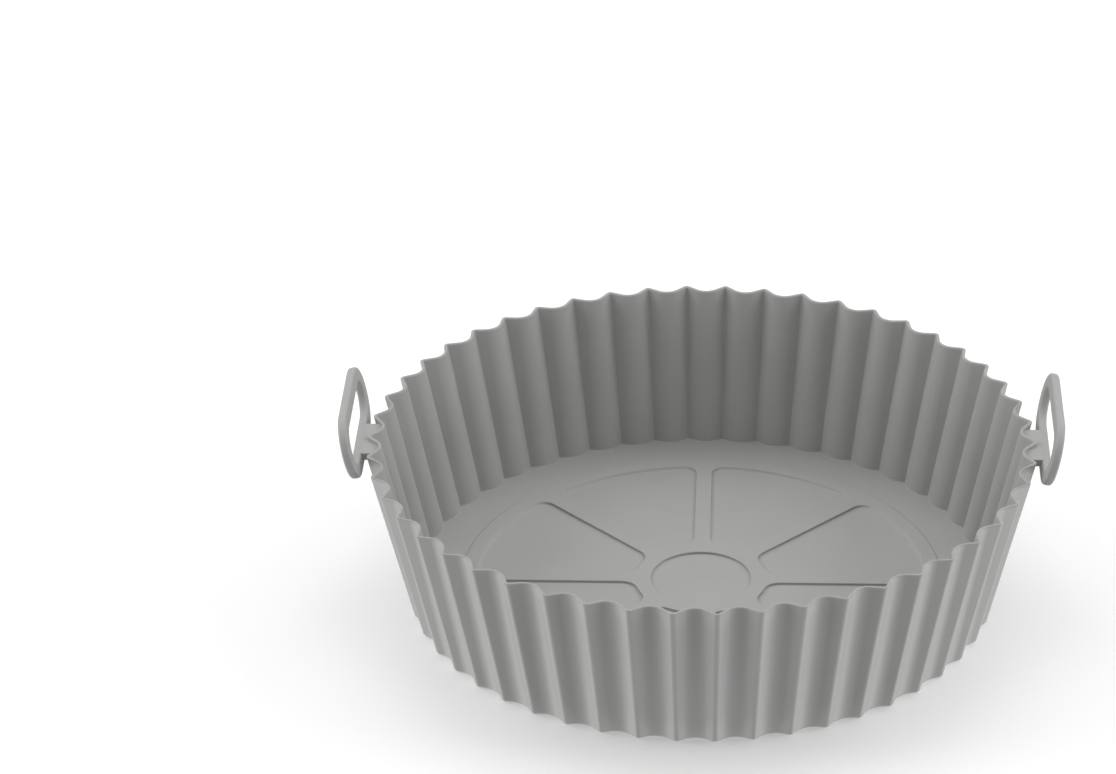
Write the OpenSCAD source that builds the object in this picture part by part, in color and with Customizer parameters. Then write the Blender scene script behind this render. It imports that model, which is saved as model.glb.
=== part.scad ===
// Air fryer liner: a round silicone pot with a fluted wall, a ribbed floor and two loop handles.
// The pot stands on the XY plane with its axis on Z. The handles lie on the X axis.
// All sizes are in millimetres and all angles in degrees.

/* [Pot] */
// Diameter over the flute ridges at the rim
rim_d = 200; // [185:1:230]
// Diameter over the flute ridges at the base
base_d = 176.4; // [165:0.2:182]
// Height from the base to the top of the rim
pot_h = 50.3; // [40:0.1:70]
// Thickness of the wall at the rim
rim_wall_t = 1; // [0.8:0.1:2]
// Thickness of the wall at the base
base_wall_t = 1.5; // [1.2:0.1:2]
// Radius of the outer edge between wall and base
base_edge_r = 1; // [0.4:0.1:1.2]

/* [Flutes] */
// Number of flutes round the wall
flutes = 50; // [42:1:54]
// Depth of a flute at the rim
rim_flute_depth = 3.5; // [2.8:0.1:4]
// Depth of a flute at the base
base_flute_depth = 2; // [1.6:0.1:2.2]
// Slope of a flute's side at the rim, measured from the rim's own direction
rim_flank_angle = 42; // [39:0.5:45]
// Slope of a flute's side at the base, measured from the base's own direction
base_flank_angle = 33; // [31:0.5:36]
// Radius of the rounded ridges, seen from outside
ridge_r = 1.45; // [1:0.05:2]
// Radius in the bottom of the sharp grooves, seen from inside
groove_r = 0.3; // [0.2:0.1:0.6]

/* [Floor] */
// Thickness of the floor beside the wall
floor_t = 1.5; // [1.2:0.1:2.5]
// Height of the wheel-shaped rib above the floor
rib_h = 0.3; // [0.1:0.1:1]
// Thickness that is left under the pockets in the wheel
pocket_floor_t = 1; // [0.6:0.1:1.1]
// Outer diameter of the wheel
wheel_d = 146.6; // [120:0.2:156]
// Width of the ring round the wheel
wheel_ring_w = 5; // [3:0.1:10]
// Width of a spoke
spoke_w = 5; // [3:0.1:8]
// Number of spokes, with one on the X axis
spokes = 8; // [4:1:10]
// Diameter of the round pocket in the middle
hub_pocket_d = 30.4; // [20:0.2:40]
// Width of the ring round the middle pocket
hub_ring_w = 5; // [3:0.1:9]
// Radius of a pocket's two outer corners
outer_corner_r = 4; // [2:0.5:7]
// Radius of a pocket's two inner corners
inner_corner_r = 5; // [2:0.5:6]

/* [Handles] */
// Length of a handle's ring along the rim
ring_l = 47.4; // [38:0.2:60]
// Height of a handle's ring along its own slope
ring_h = 20.4; // [17:0.2:26]
// Width of the ring's bar
bar_w = 4.6; // [3:0.1:5.4]
// Thickness of the ring's bar
bar_t = 2.6; // [2:0.1:3.2]
// Radius of the bar's edges
bar_edge_r = 0.8; // [0.4:0.1:0.9]
// Angle by which the ring leans outwards from upright
ring_lean = 12; // [5:0.5:15]
// Height of the ring's middle above the rim
ring_rise = 4.4; // [3:0.1:8]
// Gap between the rim's ridges and the ring, at the height of the rim
ring_gap = 1.4; // [1:0.1:4]
// Width of the stem that joins the ring to the wall
stem_w = 18.2; // [12:0.2:24]
// Thickness of the stem
stem_t = 2.2; // [1.6:0.1:3]

/* [Hidden] */
$fn = 96;
silicone = "#a2a4a1";

// Steps of the curves on the fluted wall
ridge_steps = 2;
valley_steps = 3;
base_edge_steps = 2;
lip_steps = 3;
corner_steps = 6;
edge_steps = 6;
// A cutter reaches this far past the face that it opens
eps = 0.5;

// Angle from a ridge to the middle of the next valley
half_pitch = 180 / flutes;
rim_r = rim_d / 2;
base_r = base_d / 2;
wheel_r = wheel_d / 2;
wheel_top = floor_t + rib_h;
pocket_outer_r = wheel_r - wheel_ring_w;
pocket_inner_r = hub_pocket_d / 2 + hub_ring_w;
spoke_pitch = 360 / spokes;

// The ring's middle plane crosses the X axis here, at the height of its middle
ring_x = rim_r + ring_gap + bar_t / 2 / cos(ring_lean) + ring_rise * tan(ring_lean);
ring_z = pot_h + ring_rise;
// The stem's top is level with the top of the ring's lower bar
stem_top = ring_z - (ring_h / 2 - bar_w) * cos(ring_lean);

// Point p and point q mixed, where share 0 gives p and share 1 gives q
function mix(p, q, share) = p + (q - p) * share;

// Point at a radius and an angle from a centre, with the angle measured from the Y axis
function at(centre, r, angle) = centre + r * [sin(angle), cos(angle)];

// Outline of half a flute, from its ridge on the Y axis to the middle of the valley beside it.
// A ridge arc and a valley arc are joined by a straight flank that touches both.
// inset moves the whole outline inwards by that much, as a parallel curve.
function half_flute(ridge, depth, flank, inset) =
    let (
        bend = flank - half_pitch,
        valley = ridge - depth,
        // The flank is the line whose points p have p * [sin(flank), cos(flank)] = reach
        reach = (ridge - ridge_r) * cos(flank) + ridge_r,
        valley_r = (valley * cos(bend) - reach) / (1 - cos(bend)),
        valley_centre = at([0, 0], valley + valley_r, half_pitch),
        crest_r = max(ridge_r - inset, groove_r),
        crest_centre = [0, (reach - inset - crest_r) / cos(flank)]
    )
    [
        for (i = [0:ridge_steps]) at(crest_centre, crest_r, flank * i / ridge_steps),
        for (i = [0:valley_steps])
            at(valley_centre, valley_r + inset, 180 + flank - bend * i / valley_steps)
    ];

// A whole turn of flutes in the XY plane, counter-clockwise, with a ridge on the X axis
function fluted_ring(half) =
    let (count = len(half))
    [
        for (k = [0:flutes - 1])
            let (turn = 360 * k / flutes)
            each [
                for (i = [0:count - 1]) turned(half[i], turn),
                for (i = [count - 2:-1:1]) turned(mirrored(half[i]), turn)
            ]
    ];

// A point of a half flute put at its place on the ring, with the Y axis laid on the X axis
function turned(p, turn) =
    [p.y * cos(turn) - p.x * sin(turn), p.y * sin(turn) + p.x * cos(turn)];

// The same point on the other side of the next valley's middle
function mirrored(p) = at([0, 0], norm(p), 2 * half_pitch - atan2(p.x, p.y));

// The four outlines that the wall is lofted between
rim_outside = fluted_ring(half_flute(rim_r, rim_flute_depth, rim_flank_angle, 0));
rim_inside = fluted_ring(half_flute(rim_r, rim_flute_depth, rim_flank_angle, rim_wall_t));
base_outside = fluted_ring(half_flute(base_r, base_flute_depth, base_flank_angle, 0));
base_inside = fluted_ring(half_flute(base_r, base_flute_depth, base_flank_angle, base_wall_t));

// One level of the loft. share is 0 on the outer face and 1 on the inner face.
function wall_level(z, share) =
    let (rise = z / pot_h)
    [
        for (i = [0:len(rim_outside) - 1])
            let (
                outer = mix(base_outside[i], rim_outside[i], rise),
                inner = mix(base_inside[i], rim_inside[i], rise),
                p = mix(outer, inner, share)
            )
            [p.x, p.y, z]
    ];

// The wall's section as pairs of a height and a share: round the base edge, up the outer face,
// over the rounded lip and down the inner face to the floor
lip_r = rim_wall_t / 2;
wall_section = [
    for (i = [0:base_edge_steps])
        let (a = 90 * i / base_edge_steps)
        [base_edge_r * (1 - cos(a)), base_edge_r * (1 - sin(a)) / base_wall_t],
    for (i = [0:lip_steps])
        let (a = 180 * i / lip_steps)
        [pot_h - lip_r * (1 - sin(a)), (1 - cos(a)) / 2],
    [floor_t, 1]
];

// The fluted wall and its flat floor, lofted as one closed skin
module fluted_pot() {
    levels = [for (s = wall_section) wall_level(s[0], s[1])];
    count = len(rim_outside);
    last = len(levels) - 1;
    points = [for (level = levels) each level];
    underside = [for (i = [0:count - 1]) i];
    floor_top = [for (i = [count - 1:-1:0]) last * count + i];
    skin = [
        for (k = [0:last - 1], i = [0:count - 1])
            let (
                a = k * count + i,
                b = k * count + (i + 1) % count,
                c = a + count,
                d = b + count
            )
            each [[a, c, b], [b, c, d]]
    ];
    polyhedron(points = points, faces = [underside, floor_top, each skin], convexity = 8);
}

// Points of an arc round a centre, between two angles measured from the X axis.
// first is 1 where the arc starts on the point that the outline has already.
function arc(centre, r, from, to, steps, first = 0) =
    [
        for (i = [first:steps])
            let (a = from + (to - from) * i / steps)
            centre + r * [cos(a), sin(a)]
    ];

// Point p put at the same distance on the other side of the line between two spokes
function across(p) =
    let (a = spoke_pitch - atan2(p.y, p.x))
    norm(p) * [cos(a), sin(a)];

// Half of a pocket's outline, from the middle of its inner edge to the middle of its outer one.
// The side runs parallel to the spoke on the X axis, and both corners are rounded.
function half_pocket() =
    let (
        side = spoke_w / 2,
        inner_dist = pocket_inner_r + inner_corner_r,
        outer_dist = pocket_outer_r - outer_corner_r,
        inner_angle = asin((side + inner_corner_r) / inner_dist),
        outer_angle = asin((side + outer_corner_r) / outer_dist),
        inner_centre = inner_dist * [cos(inner_angle), sin(inner_angle)],
        outer_centre = outer_dist * [cos(outer_angle), sin(outer_angle)],
        middle = spoke_pitch / 2
    )
    concat(
        arc([0, 0], pocket_inner_r, middle, inner_angle, edge_steps),
        arc(inner_centre, inner_corner_r, 180 + inner_angle, 270, corner_steps, 1),
        arc(outer_centre, outer_corner_r, -90, outer_angle, corner_steps),
        arc([0, 0], pocket_outer_r, outer_angle, middle, edge_steps, 1)
    );

// The pocket between the spoke on the X axis and the next one
module sector_pocket() {
    half = half_pocket();
    last = len(half) - 1;
    polygon(concat(half, [for (i = [last - 1:-1:1]) across(half[i])]));
}

// All the hollows in the wheel: a round one in the middle and one between each two spokes
module pockets() {
    translate([0, 0, pocket_floor_t])
        linear_extrude(wheel_top - pocket_floor_t + eps) {
            circle(d = hub_pocket_d);
            for (k = [0:spokes - 1])
                rotate(k * spoke_pitch)
                    sector_pocket();
        }
}

// The raised wheel, rooted in the floor
module wheel() {
    root = floor_t / 2;
    translate([0, 0, root])
        cylinder(r = wheel_r, h = wheel_top - root);
}

// Section of the handle's bar: its width along X, its thickness along Y, and rounded edges
module bar_section() {
    square([bar_w, bar_t - 2 * bar_edge_r], center = true);
    square([bar_w - 2 * bar_edge_r, bar_t], center = true);
    for (x = [-1, 1], y = [-1, 1])
        translate([x * (bar_w / 2 - bar_edge_r), y * (bar_t / 2 - bar_edge_r)])
            circle(bar_edge_r);
}

// The handle's ring, lying flat with its length along X: two straight bars and two half-round ends
module flat_ring() {
    straight_l = ring_l - ring_h;
    path_r = (ring_h - bar_w) / 2;
    for (side = [0, 180])
        rotate(side) {
            translate([0, path_r, 0])
                rotate([90, 0, 90])
                    linear_extrude(straight_l, center = true)
                        bar_section();
            translate([straight_l / 2, 0, 0])
                rotate(-90)
                    rotate_extrude(angle = 180)
                        translate([path_r, 0])
                            bar_section();
        }
}

// The ring stood up beside the wall, with its length along Y and its top leaning outwards
module ring() {
    translate([ring_x, 0, ring_z])
        rotate([0, ring_lean, 0])
            rotate([90, 0, 90])
                flat_ring();
}

// The flat stem, from the middle of the wall's thickness to the middle of the ring's bar
module stem() {
    middle = stem_top - stem_t / 2;
    end_x = ring_x - (ring_z - middle) * tan(ring_lean);
    wall_middle = [for (p = wall_level(middle, 0.5)) [p.x, p.y]];
    translate([0, 0, stem_top - stem_t])
        linear_extrude(stem_t)
            difference() {
                translate([0, -stem_w / 2])
                    square([end_x, stem_w]);
                polygon(wall_middle);
            }
}

// The whole liner, moulded in one piece
module liner() {
    color(silicone)
        difference() {
            union() {
                fluted_pot();
                wheel();
                for (side = [0, 180])
                    rotate(side) {
                        ring();
                        stem();
                    }
            }
            pockets();
        }
}

liner();
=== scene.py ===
# %% [markdown]
# # A silicone liner for an air fryer
#
# The object is a soft round pot, moulded in one piece from grey silicone rubber. Its wall is
# folded into flutes, its floor carries a raised wheel, and a loop handle stands on each side.
#
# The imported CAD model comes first, and its box is the size to keep. Its curves are cut into few
# flat faces, so this lesson models a smoother skin in the same place.

# %% Load the CAD model
import math

import bmesh
import bpy
from mathutils import Matrix, Vector


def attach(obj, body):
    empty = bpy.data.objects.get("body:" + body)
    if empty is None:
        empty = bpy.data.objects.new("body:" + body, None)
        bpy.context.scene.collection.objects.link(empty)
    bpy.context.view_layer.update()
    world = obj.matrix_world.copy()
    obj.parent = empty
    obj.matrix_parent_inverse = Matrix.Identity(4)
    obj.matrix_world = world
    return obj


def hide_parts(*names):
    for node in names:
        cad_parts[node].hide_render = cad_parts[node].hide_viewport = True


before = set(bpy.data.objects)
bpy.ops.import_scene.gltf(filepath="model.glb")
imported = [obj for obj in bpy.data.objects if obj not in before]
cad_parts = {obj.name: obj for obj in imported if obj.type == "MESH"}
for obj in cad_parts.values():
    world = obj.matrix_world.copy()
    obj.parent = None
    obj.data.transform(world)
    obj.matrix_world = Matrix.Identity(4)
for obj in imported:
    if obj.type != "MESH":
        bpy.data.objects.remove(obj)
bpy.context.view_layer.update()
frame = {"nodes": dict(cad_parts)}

MM = 0.001
print("CAD nodes:", ", ".join(frame["nodes"]))

# %% [markdown]
# ## The pot's sizes
#
# A fluted wall is set by few sizes: how far the ridges reach at the rim and at the base, how
# deep the flutes are, and how steep their sides are. All of them are in millimetres here, because
# a maker measures a mould that way, and the finished mesh is scaled to metres at the end.

# %% Sizes of the pot
RIM_R = 100
BASE_R = 88.2
POT_H = 50.3
RIM_WALL_T = 1
BASE_WALL_T = 1.5
BASE_EDGE_R = 1
FLUTES = 50
RIM_DEPTH = 3.5
BASE_DEPTH = 2
RIM_FLANK = math.radians(42)
BASE_FLANK = math.radians(33)
RIDGE_R = 1.45
# On the inner face the ridge's arc gets tighter, but never tighter than this.
GROOVE_R = 0.3
HALF_PITCH = math.pi / FLUTES
print("one flute takes", round(2 * HALF_PITCH * RIM_R, 2), "mm of the rim")

# %% [markdown]
# ## Drawing with a compass
#
# Every outline of this mould is made of arcs and straight lines. Curve objects could draw them,
# but a bmesh keeps each vertex at hand for the steps that follow. In bmesh, spinning one vertex
# round a centre draws an arc, just as a compass does. The last vertex is given back, so that the
# next line starts where the arc ended.

# %% A compass and a ruler
UP = Vector((0, 0, 1))


def polar(r, angle, z=0):
    """A point at a radius and an angle round the Z axis."""
    return Vector((r * math.cos(angle), r * math.sin(angle), z))


def only(geom, kind):
    """Picks one kind of element out of what an operator gives back."""
    return [g for g in geom if isinstance(g, kind)]


def draw_arc(bm, start, centre, angle, steps):
    """Draws an arc from the vertex start and returns the vertex at its end."""
    centre = Vector((centre.x, centre.y, start.co.z))
    spun = bmesh.ops.spin(bm, geom=[start], cent=centre, axis=UP, angle=angle, steps=steps)
    return only(spun["geom_last"], bmesh.types.BMVert)[0]


def draw_line(bm, start, end):
    """Draws a straight line from the vertex start and returns the vertex at its end."""
    grown = bmesh.ops.extrude_vert_indiv(bm, verts=[start])
    grown["verts"][0].co = end
    return grown["verts"][0]


trial = bmesh.new()
pen = bmesh.ops.create_vert(trial, co=(10, 0, 0))["vert"][0]
pen = draw_arc(trial, pen, Vector(), math.pi / 2, steps=4)
print("after a quarter turn the pen is", round(pen.co.y, 2), "mm along the Y axis")
trial.free()

# %% [markdown]
# ## One flute, one level at a time
#
# A sine wave would be the shortest way to a fluted wall, but the real flutes have tight ridges and
# wide valleys. From its ridge to the middle of the next valley, a flute is a small arc, a straight
# flank and a larger arc. The two arcs touch the flank without a kink, which fixes the larger
# radius. An inset draws the same flute as a parallel curve, nearer to the pot's axis: that is the
# inner face. The half is mirrored to make a whole flute.

# %% Mirror half an outline
# Points nearer to their mirror image than this, in mm, become one.
MIRROR_WELD = 1e-4


def verts_of(edges):
    """The vertices at the ends of some edges, each named once."""
    return list(dict.fromkeys(v for e in edges for v in e.verts))


def mirror_new(bm, older):
    """Mirrors the edges that aren't in older across the X axis, and returns both halves."""
    half = [e for e in bm.edges if e not in older]
    bmesh.ops.mirror(
        bm, geom=verts_of(half) + half, matrix=Matrix(), merge_dist=MIRROR_WELD, axis="Y")
    return [e for e in bm.edges if e not in older]


trial = bmesh.new()
pen = bmesh.ops.create_vert(trial, co=(10, 0, 0))["vert"][0]
draw_arc(trial, pen, Vector(), math.pi / 2, steps=4)
print("4 edges and their mirror image are", len(mirror_new(trial, older=set())), "edges")
trial.free()

# %% Draw one flute at one level
RIDGE_STEPS = 4
VALLEY_STEPS = 6


def mix(a, b, share):
    """The value that lies a share of the way from a to b."""
    return a + (b - a) * share


def draw_flute(bm, z, inset):
    """Draws a whole flute across the X axis and returns its edges."""
    older = set(bm.edges)
    rise = z / POT_H
    ridge = mix(BASE_R, RIM_R, rise)
    valley = ridge - mix(BASE_DEPTH, RIM_DEPTH, rise)
    flank = mix(BASE_FLANK, RIM_FLANK, rise)
    bend = flank - HALF_PITCH
    reach = (ridge - RIDGE_R) * math.cos(flank) + RIDGE_R
    valley_r = (valley * math.cos(bend) - reach) / (1 - math.cos(bend))
    crest_r = max(RIDGE_R - inset, GROOVE_R)
    crest_x = (reach - inset - crest_r) / math.cos(flank)
    valley_centre = polar(valley + valley_r, HALF_PITCH, z)
    vert = bmesh.ops.create_vert(bm, co=(crest_x + crest_r, 0, z))["vert"][0]
    vert = draw_arc(bm, vert, Vector((crest_x, 0, z)), flank, RIDGE_STEPS)
    vert = draw_line(bm, vert, valley_centre - polar(valley_r + inset, flank))
    draw_arc(bm, vert, valley_centre, -bend, VALLEY_STEPS)
    return mirror_new(bm, older)


trial = bmesh.new()
reaches = [v.co.xy.length for v in verts_of(draw_flute(trial, POT_H, inset=0))]
print("a flute at the rim reaches from", round(min(reaches), 2), "to", round(max(reaches), 2), "mm")
trial.free()

# %% [markdown]
# ## The fluted wall
#
# A displaced cylinder would need a dense mesh, and its wall would come out thin on the flanks.
# Parallel curves keep the thickness. The wall's section runs round the base edge, up the outer
# face, over the lip and down the inner face to the floor. At each point of that section one flute
# is drawn, with its height and inset. Bridging the drawings gives the skin of one flute, and
# repeating that closes the wall. The wall is straight from base to rim, so long faces do there,
# and only its edges need more levels.

# %% The wall's section
FLOOR_T = 1.5
FLOOR_FILLET_R = 0.15
EDGE_STEPS = 4
LIP_STEPS = 8
LIP_R = RIM_WALL_T / 2


def turns(angle, steps):
    """The angles from 0 to angle, in equal steps."""
    return [angle * i / steps for i in range(steps + 1)]


def wall_section():
    """The section as (height, inset) pairs."""
    quarter = turns(math.pi / 2, EDGE_STEPS)
    base = [(BASE_EDGE_R * (1 - math.cos(a)), BASE_EDGE_R * (1 - math.sin(a))) for a in quarter]
    lip = [
        (POT_H - LIP_R * (1 - math.sin(a)), LIP_R * (1 - math.cos(a)))
        for a in turns(math.pi, LIP_STEPS)
    ]
    fillet = [
        (FLOOR_T + FLOOR_FILLET_R * (1 - math.sin(a)),
         BASE_WALL_T + FLOOR_FILLET_R * (1 - math.cos(a)))
        for a in quarter
    ]
    return base + lip + fillet


print("the section has", len(wall_section()), "points")

# %% Build the wall
# Points nearer to each other than this, in mm, become one.
WELD = 1e-3


def bridge_levels(bm, levels):
    for below, above in zip(levels, levels[1:]):
        bmesh.ops.bridge_loops(bm, edges=below + above)


def repeat_round(bm, geom, count):
    """Repeats geom round the Z axis, and welds each copy to the next one."""
    turn = 2 * math.pi / count
    bmesh.ops.spin(
        bm, geom=geom, cent=(0, 0, 0), axis=UP, angle=turn * (count - 1),
        steps=count - 1, use_duplicate=True,
    )
    bmesh.ops.remove_doubles(bm, verts=bm.verts, dist=WELD)


def report(name, bm):
    """Prints how many faces a mesh has, and how many of its edges don't join two faces."""
    loose = sum(not e.is_manifold for e in bm.edges)
    print(name + ":", len(bm.faces), "faces,", loose, "open edges")


pot = bmesh.new()
bridge_levels(pot, [draw_flute(pot, z, inset) for z, inset in wall_section()])
repeat_round(pot, pot.verts[:] + pot.edges[:] + pot.faces[:], FLUTES)
report("wall", pot)

# %% [markdown]
# ## The wheel on the floor
#
# A thin raised wheel stiffens the floor. Between its spokes the floor is thinner, so juice
# and fat run there. A boolean could cut these hollows, but it leaves hard edges that are awkward
# to round afterwards. A hollow's outline is two arcs round the pot's axis and two sides parallel
# to the spokes, with rounded corners. As with the wall, it is drawn at several levels, each a
# parallel curve of the one before, and the levels are bridged. That gives soft edges. The
# photograph shows each hollow's outer edge only faintly, so that side is a gentle slope.

# %% Sizes of the wheel
WHEEL_TOP = 1.8
WHEEL_R = 73.3
WHEEL_RING_W = 5
SPOKES = 8
SPOKE_W = 5
HUB_HOLLOW_R = 15.2
HUB_RING_W = 5
HOLLOW_FLOOR_T = 1
OUTER_CORNER_R = 4
INNER_CORNER_R = 5
SOFT_R = 0.25
# How far the slope at a hollow's outer side runs out, per mm that it rises.
OUTER_RUN = 0.6
# The step down from the wheel's rim: the share of its height, and how far out in mm.
RIM_STEP = ((1, -0.35), (0.93, -0.15), (0.5, 0), (0.07, 0.15), (0, 0.35))
print("hollows are", round(WHEEL_TOP - HOLLOW_FLOOR_T, 2), "mm deep")

# %% Draw a hollow
CORNER_STEPS = 8


def draw_hollow(bm, z, inset):
    """Draws a hollow across the X axis, between two spokes, and returns its edges."""
    older = set(bm.edges)
    side = SPOKE_W / 2 + inset
    inner_r = HUB_HOLLOW_R + HUB_RING_W + inset
    slope = OUTER_RUN * (z - (WHEEL_TOP + HOLLOW_FLOOR_T) / 2)
    outer_r = WHEEL_R - WHEEL_RING_W - inset + slope
    inner_corner, outer_corner = INNER_CORNER_R - inset, OUTER_CORNER_R - inset
    inner_turn = math.asin((side + inner_corner) / (inner_r + inner_corner))
    outer_turn = math.asin((side + outer_corner) / (outer_r - outer_corner))
    spoke = -math.pi / SPOKES
    inner_centre = polar(inner_r + inner_corner, spoke + inner_turn, z)
    outer_centre = polar(outer_r - outer_corner, spoke + outer_turn, z)
    vert = bmesh.ops.create_vert(bm, co=(inner_r, 0, z))["vert"][0]
    vert = draw_arc(bm, vert, Vector(), spoke + inner_turn, CORNER_STEPS)
    vert = draw_arc(bm, vert, inner_centre, math.pi / 2 - inner_turn, CORNER_STEPS)
    vert = draw_line(bm, vert, outer_centre + polar(outer_corner, spoke - math.pi / 2))
    vert = draw_arc(bm, vert, outer_centre, math.pi / 2 + outer_turn, CORNER_STEPS)
    draw_arc(bm, vert, Vector(), -spoke - outer_turn, CORNER_STEPS)
    return mirror_new(bm, older)


trial = bmesh.new()
reaches = [v.co.xy.length for v in verts_of(draw_hollow(trial, WHEEL_TOP, inset=0))]
print("a hollow reaches from", round(min(reaches), 1), "to", round(max(reaches), 1), "mm")
trial.free()

# %% Draw a circle and a soft step
CIRCLE_STEPS = 160


def draw_circle(bm, z, r):
    """Draws a circle round the Z axis and returns its edges."""
    made = bmesh.ops.create_circle(
        bm, segments=CIRCLE_STEPS, radius=r, matrix=Matrix.Translation((0, 0, z)))
    return list(dict.fromkeys(e for v in made["verts"] for e in v.link_edges))


def soft_step(top, bottom):
    """Section of a step down, as (height, inset) pairs, rounded at its top and its foot."""
    quarter = turns(math.pi / 2, EDGE_STEPS)
    edge = [(top - SOFT_R * (1 - math.cos(a)), SOFT_R * (math.sin(a) - 1)) for a in quarter]
    foot = [(bottom + SOFT_R * (1 - math.sin(a)), SOFT_R * (1 - math.cos(a))) for a in quarter]
    return edge + foot


step_down = soft_step(WHEEL_TOP, HOLLOW_FLOOR_T)
print("the step down has", len(step_down), "levels")

# %% Build the hollows
wheel = bmesh.new()
bridge_levels(wheel, [draw_hollow(wheel, z, inset) for z, inset in step_down])
half_way = Matrix.Rotation(math.pi / SPOKES, 3, "Z")
bmesh.ops.rotate(wheel, cent=(0, 0, 0), matrix=half_way, verts=wheel.verts)
repeat_round(wheel, wheel.verts[:] + wheel.edges[:] + wheel.faces[:], SPOKES)
bridge_levels(wheel, [draw_circle(wheel, z, HUB_HOLLOW_R - inset) for z, inset in step_down])
bridge_levels(wheel, [
    draw_circle(wheel, mix(FLOOR_T, WHEEL_TOP, rise), WHEEL_R + out) for rise, out in RIM_STEP])
report("sides of the hollows and of the wheel", wheel)

# %% [markdown]
# ## Closing the pot
#
# The wall and the wheel become one mesh. What is still open lies in four flat planes: the
# underside, the floor beside the wall, the wheel's top and the floors of the hollows. One big face
# can't have a hole in it, so each plane is filled with triangles between its open edges, which
# leaves the holes open.

# %% Join the pieces and fill the flat faces
def join(bm, other):
    """Adds another bmesh to bm and empties it."""
    mesh = bpy.data.meshes.new("part")
    other.to_mesh(mesh)
    other.free()
    bm.from_mesh(mesh)
    bpy.data.meshes.remove(mesh)


def fill_level(bm, z):
    """Fills what is open at one height, and returns how many edges were open."""
    rim = [
        e for e in bm.edges
        if e.is_boundary and all(abs(v.co.z - z) < WELD for v in e.verts)
    ]
    bmesh.ops.triangle_fill(bm, use_beauty=True, edges=rim, normal=UP)
    return len(rim)


join(pot, wheel)
for level in (0, FLOOR_T, WHEEL_TOP, HOLLOW_FLOOR_T):
    print("open edges at", level, "mm:", fill_level(pot, level))
bmesh.ops.recalc_face_normals(pot, faces=pot.faces)
report("pot", pot)

# %% [markdown]
# ## A handle's ring
#
# The ring is a bar of one section swept round a long loop with half-round ends. A curve object
# with a bevel could do that too, but here each bend and each straight is a step to follow. The
# section starts as a rectangle, and a vertex bevel rounds its corners. Then extruding takes it
# along each straight, and spinning takes it round each end, until it meets its own start and is
# welded to it.

# %% Sizes of the handles
RING_L = 47.4
RING_H = 20.4
BAR_W = 4.6
BAR_T = 2.6
BAR_EDGE_R = 0.8
RING_LEAN = math.radians(12)
RING_RISE = 4.4
RING_GAP = 1.4
STEM_W = 18.2
STEM_T = 2.2
RING_X = RIM_R + RING_GAP + BAR_T / 2 / math.cos(RING_LEAN) + RING_RISE * math.tan(RING_LEAN)
RING_Z = POT_H + RING_RISE
STEM_TOP = RING_Z - (RING_H / 2 - BAR_W) * math.cos(RING_LEAN)
print("a ring's middle is", round(RING_X, 1), "mm out and", round(RING_Z, 1), "mm up")

# %% Draw the bar's section
def draw_bar_section(bm, centre):
    """Draws the bar's section, square to the Y axis, and returns its edges."""
    stand = Matrix.Translation(centre) @ Matrix.Rotation(math.pi / 2, 4, "X")
    shape = Matrix.Diagonal((BAR_W / 2, BAR_T / 2, 1, 1))
    bmesh.ops.create_grid(bm, x_segments=1, y_segments=1, size=1, matrix=stand @ shape)
    bmesh.ops.bevel(
        bm, geom=bm.verts, offset=BAR_EDGE_R, segments=EDGE_STEPS, profile=0.5,
        affect="VERTICES", material=-1,
    )
    bmesh.ops.delete(bm, geom=bm.faces[:], context="FACES_ONLY")
    return bm.edges[:]


trial = bmesh.new()
print("the bar's section has", len(draw_bar_section(trial, Vector())), "edges")
trial.free()

# %% Build the ring
BEND_STEPS = 16


def sweep_straight(bm, edges, step):
    grown = bmesh.ops.extrude_edge_only(bm, edges=edges)["geom"]
    bmesh.ops.translate(bm, vec=step, verts=only(grown, bmesh.types.BMVert))
    return only(grown, bmesh.types.BMEdge)


def sweep_bend(bm, edges, centre, quarters):
    spun = bmesh.ops.spin(
        bm, geom=edges, cent=centre, axis=UP, angle=quarters * math.pi / 2,
        steps=quarters * BEND_STEPS)
    return only(spun["geom_last"], bmesh.types.BMEdge)


def build_ring():
    """The ring lying flat, with its length along the X axis, drawn from its right tip."""
    bm = bmesh.new()
    straight = RING_L - RING_H
    right, left = (straight / 2, 0, 0), (-straight / 2, 0, 0)
    edges = draw_bar_section(bm, Vector(((RING_L - BAR_W) / 2, 0, 0)))
    edges = sweep_bend(bm, edges, right, quarters=1)
    edges = sweep_straight(bm, edges, (-straight, 0, 0))
    edges = sweep_bend(bm, edges, left, quarters=2)
    edges = sweep_straight(bm, edges, (straight, 0, 0))
    sweep_bend(bm, edges, right, quarters=1)
    bmesh.ops.remove_doubles(bm, verts=bm.verts, dist=WELD)
    bmesh.ops.recalc_face_normals(bm, faces=bm.faces)
    return bm


ring = build_ring()
report("ring", ring)

# %% [markdown]
# ## A handle's stem
#
# The stem is a flat plate that grows out of the wall. Its inner edge follows the flutes, halfway
# into the wall's thickness, so nothing shows inside the pot. That edge is three flutes drawn with
# half the wall as inset, cut to the stem's width. Extruding it and pressing the new edge flat
# makes the plate, and one more extrusion gives its thickness.

# %% Build the stem
def repeat_across(bm, edges, angles):
    """Copies edges round the Z axis, to each side of where they are."""
    for angle in angles:
        copy = bmesh.ops.duplicate(bm, geom=verts_of(edges) + edges)["geom"]
        bmesh.ops.rotate(
            bm, cent=(0, 0, 0), matrix=Matrix.Rotation(angle, 3, "Z"),
            verts=only(copy, bmesh.types.BMVert))
    bmesh.ops.remove_doubles(bm, verts=bm.verts, dist=WELD)


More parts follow.
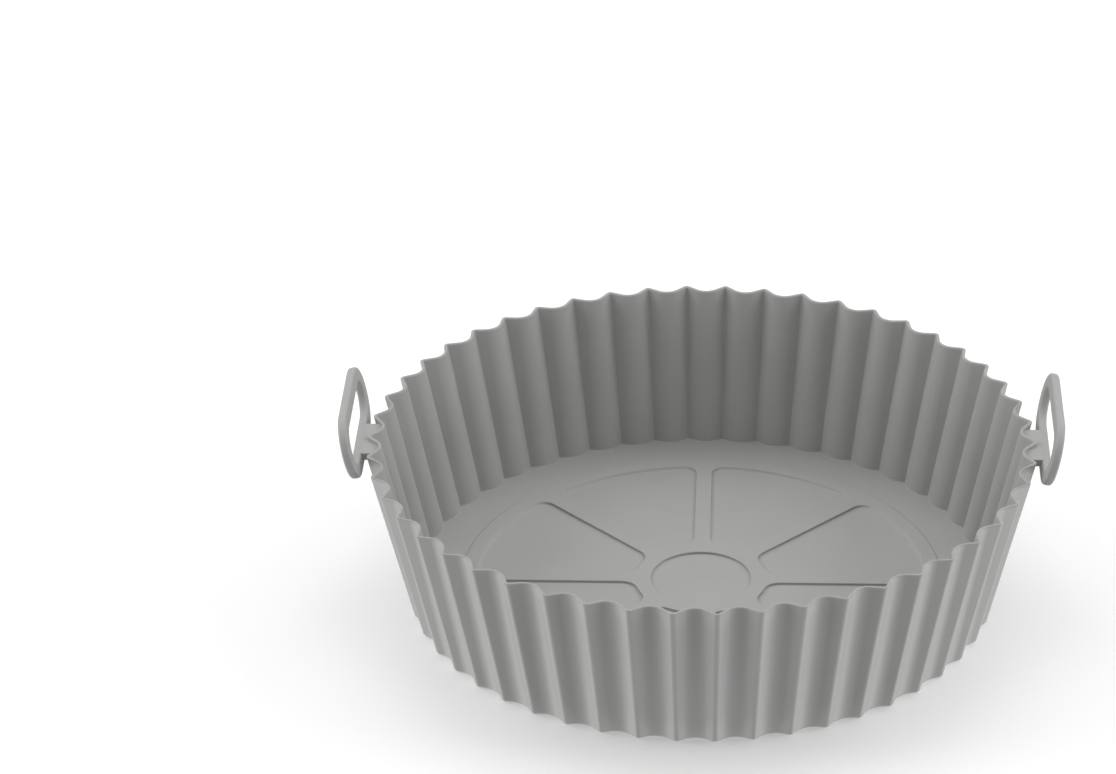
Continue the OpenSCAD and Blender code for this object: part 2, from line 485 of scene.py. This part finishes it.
def build_stem():
    """The right handle's stem, from the wall to the ring's lower bar."""
    bm = bmesh.new()
    middle = STEM_TOP - STEM_T / 2
    flute = draw_flute(bm, middle, RIM_WALL_T / 2)
    repeat_across(bm, flute, (2 * HALF_PITCH, -2 * HALF_PITCH))
    for side in (-1, 1):
        bmesh.ops.bisect_plane(
            bm, geom=bm.verts[:] + bm.edges[:], plane_co=(0, side * STEM_W / 2, 0),
            plane_no=(0, side, 0), clear_outer=True)
    grown = bmesh.ops.extrude_edge_only(bm, edges=bm.edges[:])["geom"]
    for vert in only(grown, bmesh.types.BMVert):
        vert.co.x = RING_X - (RING_Z - middle) * math.tan(RING_LEAN)
    bmesh.ops.translate(bm, vec=(0, 0, -STEM_T / 2), verts=bm.verts)
    grown = bmesh.ops.extrude_face_region(bm, geom=bm.faces[:])["geom"]
    bmesh.ops.translate(bm, vec=(0, 0, STEM_T), verts=only(grown, bmesh.types.BMVert))
    bmesh.ops.recalc_face_normals(bm, faces=bm.faces)
    return bm


stem = build_stem()
report("stem", stem)

# %% [markdown]
# ## One moulding
#
# Silicone is moulded in one shot. Pieces that are only pushed into each other would leave hidden
# walls inside, so the pot, its stems and its rings are joined by a boolean union. That leaves one
# closed skin, and only then is the mesh scaled to metres. Smooth shading follows the curves, steep
# edges stay sharp, and weighted normals keep flat faces flat.

# %% Make the pot an object
def to_object(bm, name):
    mesh = bpy.data.meshes.new(name)
    bm.to_mesh(mesh)
    bm.free()
    made = bpy.data.objects.new(name, mesh)
    bpy.context.scene.collection.objects.link(made)
    return made


liner = to_object(pot, "liner_moulding")
print(liner.name, "has", len(liner.data.polygons), "faces")

# %% Unite the handles with it
def unite(body, bm):
    """Adds a closed piece to an object by a boolean union."""
    piece = to_object(bm, "handle_tool")
    union = body.modifiers.new("union", "BOOLEAN")
    union.object = piece
    union.operation = "UNION"
    union.solver = "EXACT"
    graph = bpy.context.evaluated_depsgraph_get()
    united = bpy.data.meshes.new_from_object(body.evaluated_get(graph))
    body.modifiers.clear()
    body.data = united
    bpy.data.objects.remove(piece)


stand_up = (
    Matrix.Translation((RING_X, 0, RING_Z))
    @ Matrix.Rotation(RING_LEAN, 4, "Y")
    @ Matrix.Rotation(math.pi / 2, 4, "Z")
    @ Matrix.Rotation(math.pi / 2, 4, "X")
)
bmesh.ops.transform(ring, matrix=stand_up, verts=ring.verts)
for half_turns in (0, 1):
    to_side = Matrix.Rotation(half_turns * math.pi, 3, "Z")
    for piece in (ring, stem):
        copy = piece.copy()
        bmesh.ops.rotate(copy, cent=(0, 0, 0), matrix=to_side, verts=copy.verts)
        unite(liner, copy)
ring.free()
stem.free()
print(liner.name, "now has", len(liner.data.polygons), "faces")

# %% Scale to metres, shade and hand over to the frame
SHARP_ANGLE = math.radians(35)
# Above 50, large faces pull the normals more than small ones.
NORMAL_WEIGHT = 80
whole = bmesh.new()
whole.from_mesh(liner.data)
bmesh.ops.scale(whole, vec=(MM, MM, MM), verts=whole.verts)
report("moulding", whole)
print("volume:", round(whole.calc_volume() / MM**3 / 1000, 1), "cubic cm")
whole.to_mesh(liner.data)
whole.free()
liner.data.shade_smooth()
liner.data.set_sharp_from_angle(angle=SHARP_ANGLE)
weigh = liner.modifiers.new("weigh", "WEIGHTED_NORMAL")
weigh.keep_sharp = True
weigh.weight = NORMAL_WEIGHT
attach(liner, "root")
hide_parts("liner")

# %% [markdown]
# ## Silicone
#
# Moulded silicone rubber is matt, with a soft, wide gloss. Clear silicone lets light through, but
# grey pigment stops it just under the surface, so a plain opaque shader is enough. A blasted mould
# leaves a very fine grain, and handling leaves faint cloudy differences in tint and gloss. Both
# could be painted, but noise is spread evenly over every side and needs no unwrapping.

# %% Material helpers
def srgb(code):
    """A colour written as sRGB hex, as the linear values that a shader takes."""
    parts = [int(code[i:i + 2], 16) / 255 for i in (1, 3, 5)]
    linear = [c / 12.92 if c <= 0.04045 else ((c + 0.055) / 1.055) ** 2.4 for c in parts]
    return (*linear, 1)


def add_node(tree, kind, settings=None, links=None):
    """Adds a node. settings sets its sockets and options, links joins sockets of other nodes."""
    node = tree.nodes.new(kind)
    for name, value in (settings or {}).items():
        if name in node.inputs:
            node.inputs[name].default_value = value
        else:
            setattr(node, name, value)
    for name, source in (links or {}).items():
        tree.links.new(source, node.inputs[name])
    return node


print("#808080 gives a shader", round(srgb("#808080")[0], 3))

# %% The silicone in numbers
CLOUD_MM = 18
# A blasted mould's grain is about 0.1 mm. It is drawn coarser, so that the render can show it.
GRAIN_MM = 0.45
GRAIN_H_MM = 0.02
GRAIN_STRENGTH = 0.12
DARK_TINT, LIGHT_TINT = "#a0a19f", "#a7a8a6"
SMOOTH, ROUGH = 0.52, 0.6
SILICONE_IOR = 1.41
print("a cloud is", CLOUD_MM, "mm wide, and a grain", GRAIN_MM, "mm")

# %% Moulded silicone rubber
silicone = bpy.data.materials.new("moulded_silicone")
silicone.use_nodes = True
tree = silicone.node_tree
tree.nodes.clear()
place = add_node(tree, "ShaderNodeTexCoord").outputs["Object"]
clouds = add_node(
    tree, "ShaderNodeTexNoise", {"Scale": 1 / (CLOUD_MM * MM), "Detail": 2.0},
    {"Vector": place}).outputs["Fac"]
grain = add_node(
    tree, "ShaderNodeTexNoise", {"Scale": 1 / (GRAIN_MM * MM), "Detail": 1.0},
    {"Vector": place}).outputs["Fac"]
tint = add_node(
    tree, "ShaderNodeMix", {"data_type": "RGBA", "A": srgb(DARK_TINT), "B": srgb(LIGHT_TINT)},
    {"Factor": clouds})
gloss = add_node(
    tree, "ShaderNodeMapRange", {"To Min": SMOOTH, "To Max": ROUGH}, {"Value": clouds})
bump = add_node(
    tree, "ShaderNodeBump", {"Strength": GRAIN_STRENGTH, "Distance": GRAIN_H_MM * MM},
    {"Height": grain})
shader = add_node(
    tree, "ShaderNodeBsdfPrincipled", {"IOR": SILICONE_IOR},
    {"Base Color": tint.outputs["Result"], "Roughness": gloss.outputs["Result"],
     "Normal": bump.outputs["Normal"]})
add_node(tree, "ShaderNodeOutputMaterial", links={"Surface": shader.outputs["BSDF"]})
liner.data.materials.clear()
liner.data.materials.append(silicone)
print(silicone.name, "has", len(tree.nodes), "nodes")

# %% [markdown]
# ## A light table
#
# The liner stands on a plain pale light table. Its top is opal acrylic, which is matt and glows
# evenly because it is lit from below. An emission colour on the shader gives that glow without a
# lamp. The table lights nothing itself, because its white bounce would fill the flutes' valleys.

# %% Floor
TABLE_REACH = 6
TABLE_ROUGH = 0.9
TABLE_GLOW = 0.12
table_bm = bmesh.new()
bmesh.ops.create_grid(table_bm, x_segments=1, y_segments=1, size=TABLE_REACH)
floor = to_object(table_bm, "studio_floor")
table_top = bpy.data.materials.new("glowing_white_acrylic")
table_top.use_nodes = True
acrylic = table_top.node_tree.nodes["Principled BSDF"].inputs
acrylic["Base Color"].default_value = srgb("#f4f4f4")
acrylic["Roughness"].default_value = TABLE_ROUGH
acrylic["Emission Color"].default_value = srgb("#ffffff")
acrylic["Emission Strength"].default_value = TABLE_GLOW
floor.data.materials.append(table_top)
floor.visible_diffuse = False
floor.visible_glossy = False
floor.visible_shadow = False
print("the table is", 2 * TABLE_REACH, "m wide")

# %% [markdown]
# ## Studio light
#
# In the photograph the flutes are bright on both flanks, darker on their ridges and darkest in
# their valleys, and as bright at the base as at the rim. One large lamp over the pot can't do
# that. Soft lamps at both sides give those stripes, and two of them shine up through the table.

# %% Lamp behind
LAMP_DISTANCE = 1.8
AIM = Vector((0, 0, 0.02))


def softbox(name, azimuth, elevation, width, height, watts):
    """A soft lamp that looks at the liner. Azimuth 0 is behind it and 90 is on its right."""
    data = bpy.data.lights.new(name, "AREA")
    data.shape = "RECTANGLE"
    data.size = width
    data.size_y = height
    data.energy = watts
    lamp = bpy.data.objects.new(name, data)
    rise = math.radians(elevation)
    toward = polar(math.cos(rise), math.radians(90 - azimuth), math.sin(rise))
    lamp.location = toward * LAMP_DISTANCE
    lamp.rotation_euler = (AIM - lamp.location).to_track_quat("-Z", "Y").to_euler()
    bpy.context.scene.collection.objects.link(lamp)
    return lamp


lamps = [softbox("back_softbox", azimuth=0, elevation=70, width=1.2, height=1.2, watts=9)]
print(lamps[0].name, "is", round(lamps[0].location.z, 2), "m up")

# %% Lamps at both sides
# Name, azimuth, elevation, width, height and watts.
SIDE_LAMPS = (
    ("softbox", 90, 35, 0.8, 0.8, 7),
    ("rear_softbox", 60, 35, 0.8, 0.8, 5.6),
    ("front_softbox", 120, 5, 0.5, 0.31, 4.2),
    ("table_softbox", 90, -40, 0.9, 0.9, 12.8),
)
for side, sign in (("right", 1), ("left", -1)):
    for name, azimuth, *others in SIDE_LAMPS:
        lamps.append(softbox(side + "_" + name, sign * azimuth, *others))
print(len(lamps), "lamps with", round(sum(lamp.data.energy for lamp in lamps), 1), "watts")

# %% Light from the room
ROOM_LIGHT = 0.47
world = bpy.data.worlds.new("studio")
bpy.context.scene.world = world
world.use_nodes = True
world.node_tree.nodes["Background"].inputs["Color"].default_value = srgb("#ffffff")
world.node_tree.nodes["Background"].inputs["Strength"].default_value = ROOM_LIGHT
bpy.context.scene.view_settings.view_transform = "Standard"
print("the room's walls shine with a strength of", ROOM_LIGHT)

# %% [markdown]
# ## Camera
#
# The photograph was taken from the front, about 30 degrees above the table and with a long lens,
# so the near wall isn't much larger than the far one. The camera's place, turn and lens were
# fitted to the outlines of the rim, the base, the wheel and the handles.

# %% Camera
SENSOR_MM = 36
LENS_MM = 134
CAMERA_AT = (0.01776, -1.08199, 0.65892)
# The turns round the X, Y and Z axes, in degrees.
CAMERA_TURN = (61.3675, 0.8998, 2.6954)
lens = bpy.data.cameras.new("camera")
lens.sensor_width = SENSOR_MM
lens.lens = LENS_MM
camera = bpy.data.objects.new("camera", lens)
camera.location = CAMERA_AT
camera.rotation_euler = [math.radians(angle) for angle in CAMERA_TURN]
bpy.context.scene.collection.objects.link(camera)
bpy.context.scene.camera = camera
print("the camera is", round(camera.location.length, 2), "m from the liner")
